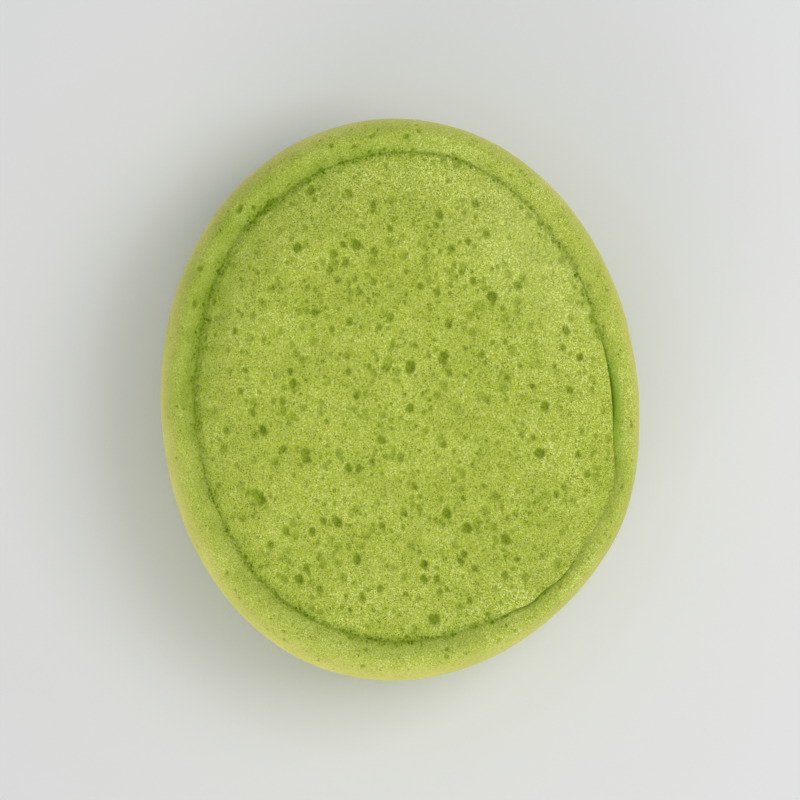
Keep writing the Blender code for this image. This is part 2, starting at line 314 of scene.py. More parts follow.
# Painted shade on the face's upper left.
FACE_SHADE_COLOUR = (0.26, 0.29, 0.085, 1.0)
# Torn foam along the crease and in pores, darkened as painted shade.
TORN_CELL_SHADE = (0.10, 0.170, 0.002, 1.0)
# Painted shade in pores, along the crease and on the rim's upper left.
PAINTED_SHADE_GREEN = (0.180, 0.305, 0.004, 1.0)
# Painted shade in the slit, under the pushed-out lip and on the pad's cut wall.
SLIT_SHADE_GREEN = (0.20, 0.39, 0.008, 1.0)
SHEEN_TINT = (1.0, 0.96, 0.75, 1.0)

# Colours of the set glue, and its patches and webs to a metre.
GLUE_AMBER = (0.60, 0.50, 0.22, 1.0)
GLUE_SOAKED = (0.42, 0.33, 0.11, 1.0)
GLUE_WEB = (0.66, 0.58, 0.32, 1.0)
GLUE_PATCHES_PER_METRE = 240.0
GLUE_WEBS_PER_METRE = 700.0


def swell(angle, centre, spread):
    """A smooth hump: 1 at the centre angle, falling to 0 at spread degrees on each side of it."""
    off = np.abs((np.asarray(angle, float) - centre + 180.0) % 360.0 - 180.0)
    return np.where(off < spread, 0.5 + 0.5 * np.cos(np.pi * np.minimum(off, spread) / spread), 0.0)


def stretch(rule, angle):
    """What one stretch adds at this angle."""
    most, centre, spread = rule
    return most * swell(angle, centre, spread)


def stretched(base, stretches, angle):
    """A measure with what its stretches add to it at this angle."""
    return base + sum(stretch(rule, angle) for rule in stretches)


def smooth(low, high, value):
    """Rises smoothly from 0 at low to 1 at high."""
    share = np.clip((np.asarray(value, float) - low) / (high - low), 0.0, 1.0)
    return share * share * (3 - 2 * share)


def bulge(angle):
    """How far the outline stands out from the plain oval: nothing at its four ends, most between them."""
    turn = math.radians(4 * CORNER_ANGLE)
    corners = CORNER_BULGE * (np.cos(np.radians(4 * angle) - turn) - math.cos(turn))
    return corners + stretch(ELBOW, angle)


def oval(angle, inset):
    """The places at these angles on the outline, moved in by inset along the oval's normal, as x and y."""
    t = np.radians(angle)
    half_width, half_length = SPONGE_WIDTH / 2, SPONGE_LENGTH / 2
    x = half_width * np.cos(t) * (1 - HEAD_TAPER * np.sin(t))
    y = half_length * np.sin(t) * (1 - RIGHT_TAPER * np.cos(t))
    along_x = -half_width * (np.sin(t) + HEAD_TAPER * np.cos(2 * t))
    along_y = half_length * (np.cos(t) - RIGHT_TAPER * np.cos(2 * t))
    length = np.hypot(along_x, along_y)
    inset = inset - bulge(angle)
    return x - inset * along_y / length, y + inset * along_x / length


def angles_of(places):
    """The outline's angle at each of these places, from 0 to 360."""
    return np.degrees(np.arctan2(places[:, 1] / SPONGE_LENGTH, places[:, 0] / SPONGE_WIDTH)) % 360


def openness(angle):
    """How far the slit on the right stands open, from 0 to 1."""
    return swell(angle, SIDE_GAP_ANGLE, SIDE_GAP_SPREAD)


def pushed_out(angle):
    """How much of the thin wavy lip there is at this angle, from 0 to 1."""
    return swell(angle, PUSHED_LIP_ANGLE, PUSHED_LIP_SPREAD)


def crispness(angle):
    """How crisply the pad's edge is cut at this angle, from 0 to 1."""
    return smooth(0.0, FULLY_CRISP, np.maximum(openness(angle), pushed_out(angle)))


def quietness(angle):
    """How little the crease is torn at this angle, from 0 to 1."""
    return stretched(0.0, QUIET_CREASES, angle)


def torn_open(near, least, angle):
    """Where pores open along the crease: near enough to the seam, and neither cut crisp nor quiet."""
    most_crisp, most_quiet = TORN_LIMITS
    return (near > least) & (crispness(angle) < most_crisp) & (quietness(angle) < most_quiet)


def pad_inset(angle):
    """How far in from the outline the face pad's edge stands, with the wave of its pushed-out stretch."""
    edge = stretched(PAD_INSET, EDGE_STRETCHES, angle)
    turn = np.radians(angle - PUSHED_LIP_ANGLE) * 180 / PUSHED_LIP_SPREAD * PUSHED_LIP_WAVES / 2
    wander = sum(reach * np.sin(np.radians(waves * angle + start)) for reach, waves, start in SEAM_WAVES)
    return edge + wander * (1 - crispness(angle)) + PUSHED_LIP_WAVE * pushed_out(angle) * np.sin(turn)


def rim_width(angle):
    """How far in from the outline the rim's inner wall stands."""
    return pad_inset(angle) + LAP


def pad_corner(angle):
    """How far the rounding of the pad's top edge reaches in."""
    return SOFT_CORNER + (CRISP_CORNER - SOFT_CORNER) * crispness(angle)


def corner_drop(angle):
    """How far below the pad's top its edge lies."""
    valley = stretched(VALLEY_DROP, VALLEY_STRETCHES, angle)
    return valley + (CRISP_CORNER - valley) * crispness(angle)


class Section:
    """Stations from the middle of one side of a piece to the middle of the other, at each angle round it."""

    def __init__(self, count, start=0.0):
        self.angles = np.arange(count) * 360.0 / count + start
        self.loops = []

    def station(self, inset, height):
        """Adds one loop at this inset and height, which may vary with the angle."""
        x, y = oval(self.angles, inset)
        self.loops.append(np.stack([x, y, np.broadcast_to(height, x.shape)], axis=1))
        self.inset = inset
        self.height = height

    def stations(self, inset, height, shares):
        """Adds a loop at each of these shares, inwards and upwards, of the way to this inset and height."""
        first_inset, first_height = self.inset, self.height
        for inwards, upwards in shares:
            inset_there = first_inset + (inset - first_inset) * inwards
            self.station(inset_there, first_height + (height - first_height) * upwards)

    def run(self, inset, height, steps):
        """Goes straight to this inset and height."""
        self.stations(inset, height, [(share, share) for share in np.arange(1, steps + 1) / steps])

    def quarter(self, inset, height, steps, first_flat):
        """Goes round a quarter ellipse, leaving the last station flat or, if not first_flat, upright."""
        turns = np.arange(1, steps + 1) / steps * math.pi / 2
        shares = [(math.sin(turn), 1 - math.cos(turn)) for turn in turns]
        self.stations(inset, height, shares if first_flat else [(late, early) for early, late in shares])

    def roll(self, inset, height, steps, roundness):
        """Leaves the last station level, falls to this inset and height, and ends more level if rounder."""
        shares = (*(np.arange(1, steps) / steps), ROLL_END, 1.0)
        falls = [share**2 * (1 + 2 * roundness * (1 - share)) for share in shares]
        self.stations(inset, height, zip(shares, falls))

    def from_middle(self, steps):
        """Puts stations before the first loop that spread from its middle."""
        first = self.loops[0]
        self.loops[:0] = [first * (share, share, 1) for share in np.arange(steps) / steps]

    def to_middle(self, steps):
        """Adds stations after the last loop that close in to its middle."""
        last = self.loops[-1]
        self.loops += [last * (share, share, 1) for share in 1 - np.arange(1, steps + 1) / steps]


def rolled(shape, loops):
    """Adds a grid rolled up round the sponge: one row for each loop, closed where its ends meet."""
    places = np.asarray(loops)
    rows, columns = places.shape[:2]
    made = bmesh.ops.create_grid(shape, x_segments=rows - 1, y_segments=columns, size=1)
    for corner in made["verts"]:
        row = round((corner.co.x + 1) / 2 * (rows - 1))
        column = round((corner.co.y + 1) / 2 * columns) % columns
        corner.co = places[row, column]


def placed(name, data):
    """A new object in the scene."""
    made = bpy.data.objects.new(name, data)
    bpy.context.scene.collection.objects.link(made)
    return made


def formed(name, shape, finish):
    """An object made from a bmesh, in this finish."""
    mesh = bpy.data.meshes.new(name)
    shape.to_mesh(mesh)
    shape.free()
    mesh.materials.append(finish)
    return placed(name, mesh)


def finished(name, shape, finish, node):
    """A smooth piece made from a bmesh, which rides on the sponge in place of its CAD node."""
    bmesh.ops.remove_doubles(shape, verts=shape.verts, dist=WELD)
    bmesh.ops.recalc_face_normals(shape, faces=shape.faces)
    piece = formed(name, shape, finish)
    piece.data.shade_smooth()
    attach(piece, "root")
    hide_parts(node)
    return piece


def corners_of(piece):
    """The piece's corners and their normals, as arrays."""
    count = len(piece.data.vertices)
    places = np.empty(count * 3, np.float32)
    normals = np.empty(count * 3, np.float32)
    piece.data.vertices.foreach_get("co", places)
    piece.data.vertices.foreach_get("normal", normals)
    return places.reshape(-1, 3).astype(float), normals.reshape(-1, 3).astype(float)


def move_corners(piece, places):
    """Puts the piece's corners at these places."""
    piece.data.vertices.foreach_set("co", places.astype(np.float32).ravel())
    piece.data.update()


def note(piece, name, values):
    """Stores one number for each corner, which the piece's material reads."""
    layer = piece.data.attributes.new(name, "FLOAT", "POINT")
    layer.data.foreach_set("value", np.asarray(values, np.float32))


def ripple(places, rule):
    """Smooth noise of the rule's height, whose bumps are as far apart as it says."""
    height, size, seed = rule
    shift = Vector([seed * part for part in SEED_SHIFT])
    return height * np.array([noise.noise(Vector(place) / size + shift) for place in places])


def sink(piece, pores, firm=0.0):
    """Sinks pores into the surface, less where it is firm, and notes how deep in a pore each corner lies, for
    the foam's painted shade in pores.
    """
    places, normals = corners_of(piece)
    tree = KDTree(len(places))
    for number, place in enumerate(places):
        tree.insert(place, number)
    tree.balance()
    depth = np.zeros(len(places))
    shade = np.zeros(len(places))
    chance = random.Random(PORE_SEED)
    for centre, radius, share in pores:
        radius *= PORE_SOFTNESS
        lean = chance.uniform(-PORE_LEAN, PORE_LEAN)
        long_way = chance.uniform(*PORE_LENGTH)
        for place, number, distance in tree.find_range(centre, radius * PORE_REACH):
            turn = math.atan2(place.y - centre[1], place.x - centre[0])
            rags = PORE_RAGS * noise.noise(place / PORE_RAG_SIZE)
            edge = 1 - long_way * math.cos(2 * turn + lean) + rags
            within = 1 - (distance / (radius * edge)) ** 2
            if within > 0:
                depth[number] = max(depth[number], share * radius * within**PORE_BOWL)
                shade[number] = max(shade[number], min(share, 1) * min(within * PORE_SHADE, 1))
    move_corners(piece, places - normals * (depth * (1 - firm))[:, None])
    # The pore note sets the foam's painted shade in the pores.
    note(piece, "pore", shade)


def scattered(places, allowed, rule, depth, chance):
    """Pores of one depth at random spots among the allowed places, small ones more often."""
    count, least, most = rule
    numbers = np.flatnonzero(allowed)
    pores = []
    for _ in range(count):
        spot = places[numbers[chance.randrange(len(numbers))]]
        pores.append((tuple(spot), least + (most - least) * chance.random() ** 2, depth))
    return pores


class Wire:
    """An output of a shader node. Arithmetic on wires adds the Math nodes that it needs."""

    def __init__(self, recipe, socket):
        self.recipe = recipe
        self.socket = socket

    def math(self, operation, *terms):
        return self.recipe.node("Math", {"operation": operation}, dict(enumerate(terms)))

    def __add__(self, other):
        return self.math("ADD", self, other)

    def __rsub__(self, other):
        return self.math("SUBTRACT", other, self)

    def __mul__(self, other):
        return self.math("MULTIPLY", self, other)

    __radd__ = __add__
    __rmul__ = __mul__

    def other(self, name):
        """Another output of the same node."""
        return Wire(self.recipe, self.socket.node.outputs[name])


class Recipe:
    """A material's node tree, built up around its Principled BSDF."""

    def __init__(self, name):
        self.material = bpy.data.materials.new(name)
        self.material.use_nodes = True
        self.tree = self.material.node_tree
        self.surface = self.tree.nodes["Principled BSDF"]

    def fill(self, node, inputs):
        """Links or sets a node's inputs, by name or number."""
        for key, value in inputs.items():
            if isinstance(value, Wire):
                self.tree.links.new(value.socket, node.inputs[key])
            else:
                node.inputs[key].default_value = value

    def node(self, kind, settings=None, inputs=None, output=0):
        """Adds a node, with its settings set before its inputs, and returns one of its outputs."""
        made = self.tree.nodes.new("ShaderNode" + kind)
        for key, value in (settings or {}).items():
            setattr(made, key, value)
        self.fill(made, inputs or {})
        return Wire(self, made.outputs[output])

    def mixed(self, share, first, second):
        """A colour between two colours."""
        return self.node("Mix", {"data_type": "RGBA"}, {0: share, 6: first, 7: second}, output=2)

    def rise(self, value, low, high):
        """0 up to low, 1 from high on, and smooth between."""
        settings = {"interpolation_type": "SMOOTHSTEP"}
        return self.node("MapRange", settings, {"Value": value, "From Min": low, "From Max": high})

    def clouds(self, place, per_metre, detail):
        """Soft noise with so many features to a metre."""
        return self.node("TexNoise", inputs={"Vector": place, "Scale": per_metre, "Detail": detail})

    def honeycomb(self, place, per_metre, feature="F1"):
        """Irregular cells, so many to a metre: how far a place lies from its cell's middle or edge."""
        return self.node("TexVoronoi", {"feature": feature}, {"Vector": place, "Scale": per_metre})

    def luck(self, cells):
        """Three random numbers for each cell, named Red, Green and Blue. Red is the one returned."""
        return self.node("SeparateColor", inputs={"Color": cells.other("Color")})

    def noted(self, name):
        """The number that was noted at the piece's corners, or 0 on a piece without that note."""
        return self.node("Attribute", {"attribute_name": name}, output="Fac")

    def finish(self, **inputs):
        """Sets the shader's own inputs, with spaces in their names written as underscores."""
        self.fill(self.surface, {key.replace("_", " "): value for key, value in inputs.items()})
        return self.material


class Foam(Recipe):
    """The patterns and notes that a foam's colours are mixed from."""

    def __init__(self, name, cell):
        super().__init__(name)
        place = self.node("TexCoord", output="Object")
        self.cells = self.honeycomb(place, 1 / cell)
        self.grain = self.honeycomb(place, GRAIN_FINENESS / cell)
        self.cell_luck = self.luck(self.cells)
        self.grain_luck = self.luck(self.grain)
        self.tears = self.honeycomb(place, TEARS_PER_METRE)
        self.tone = self.clouds(place, TONES_PER_METRE, 3.0)
        patches = self.clouds(place, PATCHES_PER_METRE, 3.0)
        self.dull = self.rise(patches, 0.35, 0.68)
        self.clusters = self.rise(patches, 0.46, 0.58)
        self.inside = self.rise(self.noted("pore"), 0.05, 0.95)
        self.crease = self.noted("crease")
        self.shade = self.noted("shade")
        self.outer = self.noted("outer")
        self.calm = 1 - self.outer * 0.5
        self.coarse = self.coarseness(place)

    def coarseness(self, place):
        """How much coarser the grain is at the head, at the foot and on the right."""
        across = self.node("SeparateXYZ", inputs={"Vector": place})
        along = across.other("Y")
        head = self.rise(along, *HEAD_STRETCH)
        foot = 1 - self.rise(along, *FOOT_STRETCH)
        return head * 1.5 + foot * 0.7 + self.rise(across, *RIGHT_STRETCH) * 0.6

    def darkening(self, speckle):
        """How dark it is between the struts: in mouths, in gaps and in odd cells, with a faint tone."""
        mouth = 1 - self.rise(self.cells, 0.05, 0.55)
        gap = 1 - self.rise(self.grain, 0.10, 0.50)
        dark = mouth * (0.30 + 0.13 * self.dull) + gap * (0.53 + 0.10 * self.dull + 0.24 * self.coarse)
        dark = dark + self.rise(self.grain_luck.other("Green"), 0.60, 0.97) * (0.26 + self.dull * 0.18)
        dark = dark + self.rise(self.cell_luck.other("Green"), 0.72, 0.97) * (0.12 + self.dull * 0.12)
        return dark * self.calm * speckle + (1 - self.rise(self.tone, 0.3, 0.7)) * 0.10

    def glints(self, speckle):
        """How pale the odd struts are that catch the light: painted glints."""
        glints = self.rise(self.grain_luck, 0.60, 0.95) * 0.90
        middles = 1 - self.rise(self.cells, 0.25, 0.60)
        glints = glints + self.rise(self.cell_luck, 0.86, 0.94) * middles * 0.85
        glints = glints * (1 - self.dull * 0.3) * (1 - self.inside)
        glints = glints * (0.8 + 0.6 * self.rise(self.tone, 0.4, 0.65)) * speckle
        return glints * (1 + 0.25 * self.coarse) * self.calm

    def painted_shade(self):
        """Painted shade of a fuller colour: in the pores and the crease, along the seam itself and on the
        rim's upper left.
        """
        pores = self.inside * (0.24 + 0.38 * self.grain_luck.other("Blue"))
        # Painted shade along the seam line itself.
        seam = self.rise(self.crease, 0.72, 1.0) * 0.20
        return pores + (self.shade * (0.27 + 0.18 * self.clusters) + seam + self.noted("rim_shade") * 0.40)

    def torn(self):
        """How dark the torn cells are, along the crease and inside the pores: torn foam, darkened as painted
        shade.
        """
        torn = 1 - self.rise(self.tears + self.grain * 0.4, 0.35, 0.80)
        torn = torn * self.rise(self.luck(self.tears), 0.25, 0.45)
        torn = torn * self.rise(self.crease, 0.12, 0.75) * self.rise(self.shade, 0.1, 0.4)
        torn = torn * (0.42 + 0.55 * self.clusters)
        holes = self.inside * self.rise(self.grain_luck.other("Green"), 0.50, 0.80)
        return torn + holes * (0.22 + 0.28 * self.clusters)


def foam(name, light, dark, deep, cell, relief, speckle):
    """Open-cell foam: cells in relief, pale struts, dark cell mouths, and painted shade of a fuller colour in
    its pores and creases.
    """
    recipe = Foam(name, cell)
    # Painted sheen: struts and holes on the outer part are mixed paler.
    sheen_share = recipe.outer * (0.45 + 0.4 * recipe.tone)
    strut = recipe.mixed(sheen_share, light, PAINTED_SHEEN_STRUT)
    hole = recipe.mixed(sheen_share, dark, PAINTED_SHEEN_HOLE)
    colour = recipe.mixed(recipe.darkening(speckle), strut, hole)
    # Painted light: glints on odd struts, and the face's lit upper right.
    colour = recipe.mixed(recipe.glints(speckle) * 0.66 + recipe.noted("pale"), colour, PAINTED_LIGHT_PALE)
    # Painted shade on the face's upper left.
    colour = recipe.mixed(recipe.noted("face_shade"), colour, FACE_SHADE_COLOUR)
    # Painted shade in pores, in the crease and on the rim's upper left.
    colour = recipe.mixed(recipe.painted_shade(), colour, deep)
    # Torn foam along the crease and in pores, darkened as painted shade.
    colour = recipe.mixed(recipe.torn(), colour, TORN_CELL_SHADE)
    # Painted shade in the slit, under the pushed-out lip and on the pad's cut wall.
    colour = recipe.mixed(recipe.noted("slit") * 0.92, colour, SLIT_SHADE_GREEN)

    height = (recipe.cells * 0.7 + recipe.grain * 0.5) * (1 - recipe.inside * 0.5) * recipe.calm
    bump = recipe.node("Bump", inputs={"Strength": 0.7, "Distance": relief, "Height": height})
    recipe.finish(Sheen_Weight=0.05, Sheen_Roughness=0.5, Sheen_Tint=SHEEN_TINT)
    recipe.finish(Subsurface_Weight=0.45, Subsurface_Radius=(0.8, 1.0, 0.25), Subsurface_Scale=0.0016)
    return recipe.finish(Base_Color=colour, Roughness=0.95, Specular_IOR_Level=0.07, Normal=bump)


def face_foam():
    """The face pad's pale green foam."""
    light = (0.533, 0.626, 0.071, 1.0)
    dark = (0.13, 0.19, 0.008, 1.0)
    return foam("face_foam", light, dark, PAINTED_SHADE_GREEN, cell=0.00045, relief=0.00030, speckle=1.0)


def cover_foam():
    """The cover's foam, finer and more even than the face's."""
    light = (0.551, 0.627, 0.093, 1.0)
    dark = (0.16, 0.23, 0.010, 1.0)
    return foam("cover_foam", light, dark, PAINTED_SHADE_GREEN, cell=0.00040, relief=0.00024, speckle=0.9)


def core_foam():
    """The filling block's coarse cream foam."""
    light = (0.72, 0.70, 0.45, 1.0)
    dark = (0.50, 0.47, 0.26, 1.0)
    # Painted shade in the block's pores.
    deep = (0.42, 0.38, 0.20, 1.0)
    return foam("core_foam", light, dark, deep, cell=0.0011, relief=0.0004, speckle=0.7)


def set_glue():
    """Set foam adhesive: amber, patchy where it has soaked in, and webbed."""
    recipe = Recipe("set_glue")
    place = recipe.node("TexCoord", output="Object")
    patches = recipe.clouds(place, GLUE_PATCHES_PER_METRE, 4.0)
    webs = recipe.honeycomb(place, GLUE_WEBS_PER_METRE, "DISTANCE_TO_EDGE")
    colour = recipe.mixed(recipe.rise(patches, 0.35, 0.65), GLUE_AMBER, GLUE_SOAKED)
    colour = recipe.mixed(1 - recipe.rise(webs, 0.0, 0.12), colour, GLUE_WEB)
    bump = recipe.node("Bump", inputs={"Strength": 0.4, "Distance": 0.0002, "Height": patches})
    return recipe.finish(Base_Color=colour, Roughness=patches * 0.35 + 0.3, Normal=bump)


def seam_distance(places):
    """How far each place lies from the seam, as seen from above."""
    angles = np.arange(0, 360, SEAM_STEP)
    x, y = oval(angles, pad_inset(angles))
    tree = KDTree(len(angles))
    for number, spot in enumerate(zip(x, y)):
        tree.insert((*spot, 0.0), number)
    tree.balance()
    return np.array([tree.find((place[0], place[1], 0.0))[2] for place in places])


def crease_shares(off, height, angle):
    """How near to the seam, how shaded by it, and how near to the slit or lip a place is, from 0 to 1."""
    upper = smooth(*CREASE_HEIGHTS, height)
    near = 1 - smooth(0.0, stretched(CREASE_REACH, CREASE_STRETCHES, angle), off)
    shade = 1 - smooth(0.0, stretched(SHADE_REACH, SHADE_STRETCHES, angle), off)
    # Painted shade in the slit and under the pushed-out lip.
    slit = (1 - smooth(0.0, SIDE_GAP_REACH, off)) * openness(angle)
    lip = (1 - smooth(0.0, LIP_SHADE_REACH, off)) * pushed_out(angle) * LIP_SHADE_SHARE
    shade_share = stretched(SHADE_SHARE, SHADE_SHARE_STRETCHES, angle)
    shade = (near + (shade - near) * shade_share) * (1 - QUIET_SHADE * quietness(angle))
    return near * upper, shade * upper, np.maximum(slit, lip) * upper


def cover_section():
    """The wrapped sheet's section: from the back's middle out, up, over the rim and inside to the floor."""
    section = Section(ROUND_THE_COVER)
    angles = section.angles
    width = rim_width(angles)
    crest = width * CREST_SHARE - SIDE_SLOPE_START * openness(angles)
    closed_foot = PAD_TOP - corner_drop(angles) - PUSHED_LIP_EDGE * pushed_out(angles) - LAP_CLEARANCE
    open_foot = stretched(SIDE_GAP_FOOT, SIDE_GAP_FOOT_STRETCHES, angles)
    roll_foot = closed_foot + (open_foot - closed_foot) * openness(angles)
    lip_edge = width + LIP_REACH
    section.station(BACK_SHOULDER_INSET, 0.0)
    section.quarter(0.0, BACK_SHOULDER_HEIGHT, steps=18, first_flat=True)
    section.run(0.0, SPONGE_HEIGHT - FRONT_SHOULDER_HEIGHT, steps=24)
    section.quarter(crest, SPONGE_HEIGHT, steps=34, first_flat=False)
    section.roll(width, roll_foot, steps=18, roundness=VALLEY_ROUNDNESS * (1 - crispness(angles)))
    section.run(width, LIP_TOP, steps=6)
    section.run(lip_edge - LIP_THICKNESS / 2, LIP_TOP, steps=2)
    section.run(lip_edge, LIP_TOP - LIP_THICKNESS / 2, steps=1)
    section.run(lip_edge - LIP_THICKNESS / 2, LIP_BOTTOM, steps=1)
    section.run(WALL_THICKNESS, LIP_BOTTOM, steps=2)
    section.run(WALL_THICKNESS, FLOOR_THICKNESS + INSIDE_CORNER, steps=3)
    section.quarter(WALL_THICKNESS + INSIDE_CORNER, FLOOR_THICKNESS, steps=3, first_flat=False)
    section.from_middle(steps=16)
    section.to_middle(steps=4)
    return section.loops


def cover_pores(places, angle, out, near):
    """A few pores on the cover's outer skin, more along the torn crease, and larger ones on the rim."""
    chance = random.Random(COVER_SEED)
    skin = (out > PORED_SKIN) & (near < COVER_PORES_NEAR)
    pores = scattered(places, skin, COVER_PORES, OPEN, chance)
    pores += scattered(places, torn_open(near, COVER_TEARS_NEAR, angle), CREASE_PORES, OPEN, chance)
    pores += [(on_rim(across, down, places), radius * PIXEL, OPEN) for across, down, radius in RIM_PORES]
    return pores


def wrapped_cover():
    """The cover, a little uneven, with few pores, and open pores along the crease."""
    shape = bmesh.new()
    rolled(shape, cover_section())
    piece = finished("wrapped_cover", shape, cover_foam(), "outer_cover")
    places, normals = corners_of(piece)
    angle = angles_of(places)
    out = 2 * np.hypot(places[:, 0] / SPONGE_WIDTH, places[:, 1] / SPONGE_LENGTH)
    above_lip = smooth(*UNEVEN_ROLL, places[:, 2])
    free = smooth(*UNEVEN_BACK, places[:, 2]) * np.where(out > OUTER_SKIN, 1.0, above_lip)
    off = seam_distance(places)
    near, shade, slit = crease_shares(off, places[:, 2], angle)
    shift = ripple(places, COVER_SWELLS) + ripple(places, COVER_BUMPS)
    places += normals * (shift * free * (1 - near))[:, None]
    move_corners(piece, places)

    closed = 1 - smooth(*CLOSED_SEAM, openness(angle))
    across = off / rim_width(angle)
    # Painted shade on the inner half of the rim's upper left, where less light falls.
    most, centre, spread = PAINTED_RIM_SHADE
    dull = most * smooth(*RIM_SHADE_FULL, swell(angle, centre, spread)) * (1 - smooth(*RIM_SHADE_SHARES, across))
    # Painted sheen on the rim's outer half and the cover's side, fuller higher up, noted as outer.
    sheen_height = LEAST_SHEEN + (1 - LEAST_SHEEN) * smooth(*SHEEN_HEIGHTS, places[:, 2])
    # The crease note marks the torn seam and its painted shade; the shade and slit notes are painted shade in
    # the valley, the slit and under the pushed-out lip.
    note(piece, "crease", near * closed * (1 - quietness(angle)))
    note(piece, "shade", shade * closed)
    note(piece, "rim_shade", dull * closed)
    note(piece, "slit", slit)
    note(piece, "outer", smooth(*SHEEN_RIM_SHARES, across) * sheen_height)
    sink(piece, cover_pores(places, angle, out, near), smooth(*FIRM_SEAM, near))


def block_edge(count):
    """Places round the middle block's edge, in its own measure from -1 to 1, from the lower left on."""
    side = count // 4
    along = np.arange(side) * 2 / side - 1
    ones = np.ones(side)
    return np.concatenate([along, ones, -along, -ones]), np.concatenate([-ones, along, ones, -along])


def block_place(u, v):
    """Where a place of the middle block, a rounded square in its own measure, lies on the face."""
    round_u = u * np.sqrt(1 - v**2 / 2)
    round_v = v * np.sqrt(1 - u**2 / 2)
    across = FACE_BLOCK_SHARE * (u + (round_u - u) * FACE_BLOCK_ROUNDNESS)
    along = FACE_BLOCK_SHARE * (v + (round_v - v) * FACE_BLOCK_ROUNDNESS)
    angle = np.degrees(np.arctan2(along, across))
    x, y = oval(angle, pad_inset(angle) + pad_corner(angle))
    out = np.hypot(across, along)
    return np.stack([x * out, y * out, np.full_like(x, PAD_TOP)], axis=1)


def face_loops():
    """The face pad's loops from the edge of the middle block out over the face, and down its edge."""
    section = Section(4 * FACE_BLOCK_CELLS, FACE_BLOCK_START)
    angles = section.angles
    edge = pad_inset(angles)
    section.station(edge + pad_corner(angles), PAD_TOP)
    brim = section.loops.pop()
    block = block_place(*block_edge(len(angles)))
    for share in np.arange(FACE_RINGS + 1) / FACE_RINGS:
        section.loops.append(block + (brim - block) * share)
    roundness = VALLEY_ROUNDNESS * (1 - crispness(angles))
    section.roll(edge, PAD_TOP - corner_drop(angles), steps=8, roundness=roundness)
    section.run(edge, section.height - PUSHED_LIP_EDGE * pushed_out(angles), steps=1)
    section.run(edge + 2 * LAP, section.height - 2 * LAP, steps=1)
    section.run(edge + 2 * LAP, PAD_BOTTOM + CRISP_CORNER, steps=9)
    section.run(edge + CRISP_CORNER, PAD_BOTTOM, steps=1)
    return section.loops


def face_shape():
    """The face pad before it is crowned: the middle block, the loops round it, and the flat underside."""
    shape = bmesh.new()
    made = bmesh.ops.create_grid(shape, x_segments=FACE_BLOCK_CELLS, y_segments=FACE_BLOCK_CELLS, size=1)
    measure = np.array([corner.co[:2] for corner in made["verts"]])
    for corner, place in zip(made["verts"], block_place(measure[:, 0], measure[:, 1])):
        corner.co = place
    rolled(shape, face_loops())
    bmesh.ops.remove_doubles(shape, verts=shape.verts, dist=WELD)
    bmesh.ops.holes_fill(shape, edges=[edge for edge in shape.edges if edge.is_boundary], sides=0)
    return shape


def ray_through(across, down):
    """The way from the camera through a pixel of the photograph."""
    half = PHOTO_PIXELS / 2
    return CAMERA_AXES @ Vector(((across - half) * PIXEL, (half - down) * PIXEL, -CAMERA_DISTANCE))


def on_face(across, down):
    """The place on the face that the camera sees at a pixel of the photograph."""
    ray = ray_through(across, down)
    return EYE + ray * ((PAD_TOP + FACE_CROWN / 2 - EYE.z) / ray.z)


def on_rim(across, down, places):
    """The corner of the cover's front that lies nearest to the camera's line through a pixel."""
    way = np.array(ray_through(across, down).normalized())
    aside = places - np.array(EYE)
    off = np.linalg.norm(aside - np.outer(aside @ way, way), axis=1)
    return tuple(places[np.argmin(off + (places[:, 2] < SPONGE_HEIGHT - FRONT_SHOULDER_HEIGHT))])


def face_pores(places, angle, near, wall):
    """The listed pores, small ones among them, open ones along the torn crease, and shallow ones."""
    pores = []
    for group, depth in ((DEEP_PORES, DEEP), (OPEN_PORES, OPEN), (FAINT_PORES, FAINT)):
        for across, down, radius in group:
            pores.append((on_face(across, down), radius * PIXEL, depth))
    chance = random.Random(FACE_SEED)
    top = (places[:, 2] > PAD_TOP - FACE_PORES_DEPTH) & (near < FACE_PORES_NEAR)
    torn = torn_open(near, FACE_TEARS_NEAR, angle) & (wall == 0)
    pores += scattered(places, top, SMALL_PORES, SMALL, chance)
    pores += scattered(places, torn, CREASE_PORES, OPEN, chance)
    pores += scattered(places, top, SHALLOW_PORES, SHALLOW, chance)
    return pores


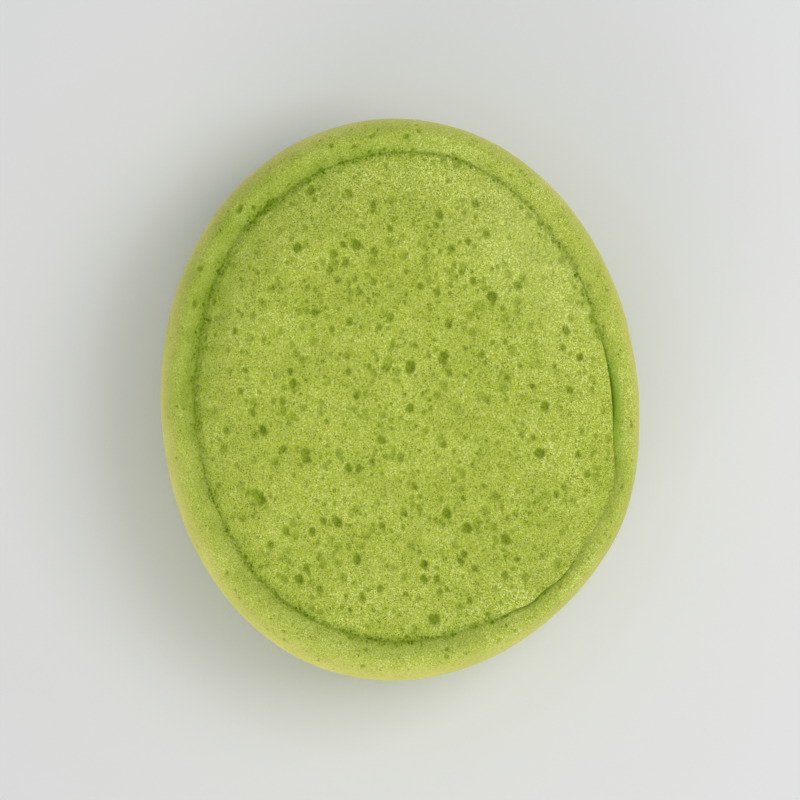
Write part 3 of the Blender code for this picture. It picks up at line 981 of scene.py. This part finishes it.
def pored_face():
    """The face pad: crowned, soft at its corner or cut crisp, and full of pores."""
    piece = finished("pored_face", face_shape(), face_foam(), "face_pad")
    places, normals = corners_of(piece)
    angle = angles_of(places)
    brim_x, brim_y = oval(angle, pad_inset(angle))
    out = np.hypot(places[:, 0], places[:, 1]) / np.hypot(brim_x, brim_y)
    upper = smooth(*FACE_SIDE, places[:, 2])
    wall = smooth(*CUT_EDGE, PAD_TOP - corner_drop(angle) - places[:, 2])
    lift = FACE_CROWN * (1 - np.clip(out, 0, 1) ** 2)
    lift += ripple(places, FACE_SWELLS) * (1 - smooth(*EVEN_BRIM, out))
    lift += PUSHED_LIP_LIFT * pushed_out(angle) * smooth(*LIFTED_BRIM, out)
    places[:, 2] += lift * upper
    near, shade, _ = crease_shares(seam_distance(places), places[:, 2], angle)
    places += normals * (ripple(places, FACE_BUMPS) * upper * (1 - near))[:, None]
    move_corners(piece, places)

    soft = 1 - crispness(angle)
    # The crease note marks the torn seam and its painted shade; the shade note is painted shade in the
    # valley, and the slit note painted shade on the cut wall.
    note(piece, "crease", near * soft * (1 - quietness(angle)))
    note(piece, "shade", shade * soft)
    note(piece, "slit", wall)
    # Painted light on the face's outer part at the upper right, then painted shade on it at the upper left.
    note(piece, "pale", stretch(PAINTED_FACE_LIGHT, angle) * smooth(*FACE_LIGHT_SHARES, out) * upper)
    note(piece, "face_shade", stretch(PAINTED_FACE_SHADE, angle) * smooth(*FACE_SHADE_SHARES, out) * upper)
    sink(piece, face_pores(places, angle, near, wall), smooth(*FIRM_SEAM, near))


def filling_block():
    """The block inside, with its ledge for the cover's lip."""
    section = Section(ROUND_THE_CORE)
    side = WALL_THICKNESS + SEAM_CLEARANCE
    ledge = LIP_BOTTOM - BOND_HEIGHT
    plateau = rim_width(section.angles) + LIP_REACH + SEAM_CLEARANCE
    section.station(side + INSIDE_CORNER, CORE_LOW.z)
    section.quarter(side, CORE_LOW.z + INSIDE_CORNER, steps=5, first_flat=True)
    section.run(side, ledge, steps=6)
    section.run(plateau, ledge, steps=4)
    section.run(plateau, CORE_HIGH.z, steps=3)
    section.from_middle(steps=12)
    section.to_middle(steps=12)
    shape = bmesh.new()
    rolled(shape, section.loops)
    piece = finished("filling_block", shape, core_foam(), "inner_core")
    places, _ = corners_of(piece)
    anywhere = np.full(len(places), True)
    sink(piece, scattered(places, anywhere, CORE_PORES, SHALLOW, random.Random(CORE_SEED)))


def glue_films():
    """The three bond lines, which keep their CAD solids."""
    finish = set_glue()
    for name in ("face_glue_film", "lip_glue_ring", "floor_glue_film"):
        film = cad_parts[name]
        film.data.materials.clear()
        film.data.materials.append(finish)


def camera():
    """The camera at the photograph's angle. Gives its place and its axes."""
    left, down, lean = (math.radians(turn) for turn in (CAMERA_LEFT, CAMERA_DOWN, CAMERA_TURN))
    back = Vector((-math.tan(left), -math.tan(down), 1.0)).normalized()
    right = Vector((math.sin(lean), math.cos(lean), 0)).cross(back).normalized()
    axes = Matrix((right, back.cross(right), back)).transposed()
    data = bpy.data.cameras.new("camera")
    data.sensor_width = SENSOR_WIDTH
    data.lens = data.sensor_width * CAMERA_DISTANCE / (PHOTO_PIXELS * PIXEL)
    eye = AIM + back * CAMERA_DISTANCE
    made = placed("camera", data)
    made.matrix_world = Matrix.Translation(eye) @ axes.to_4x4()
    bpy.context.scene.camera = made
    return eye, axes


def softbox(name, place, size, power, colour):
    """A square area light that looks at the sponge."""
    data = bpy.data.lights.new(name, "AREA")
    data.size = size
    data.energy = power
    data.color = colour
    made = placed(name, data)
    made.location = place
    made.rotation_euler = (LIGHT_AIM - Vector(place)).to_track_quat("-Z", "Y").to_euler()


def pale_floor():
    """The round floor that the sponge lies on, with its own plain finish."""
    shape = bmesh.new()
    bmesh.ops.create_circle(shape, cap_ends=True, segments=FLOOR_SIDES, radius=FLOOR_RADIUS)
    finish = Recipe("pale_floor").finish(Base_Color=FLOOR_COLOUR, Roughness=0.7)
    floor = formed("floor", shape, finish)


def pale_room():
    """The even light that comes from all round."""
    world = bpy.data.worlds.new("pale_room")
    world.use_nodes = True
    background = world.node_tree.nodes["Background"]
    background.inputs["Color"].default_value = ROOM_COLOUR
    background.inputs["Strength"].default_value = ROOM_STRENGTH
    bpy.context.scene.world = world


def studio():
    """A pale floor, a wide soft light from the picture's foot, a weak one high on the right, and a room."""
    pale_floor()
    softbox("foot_softbox", *FOOT_SOFTBOX)
    softbox("right_softbox", *RIGHT_SOFTBOX)
    pale_room()
    bpy.context.scene.view_settings.view_transform = "Standard"


EYE, CAMERA_AXES = camera()
studio()
wrapped_cover()
pored_face()
filling_block()
glue_films()
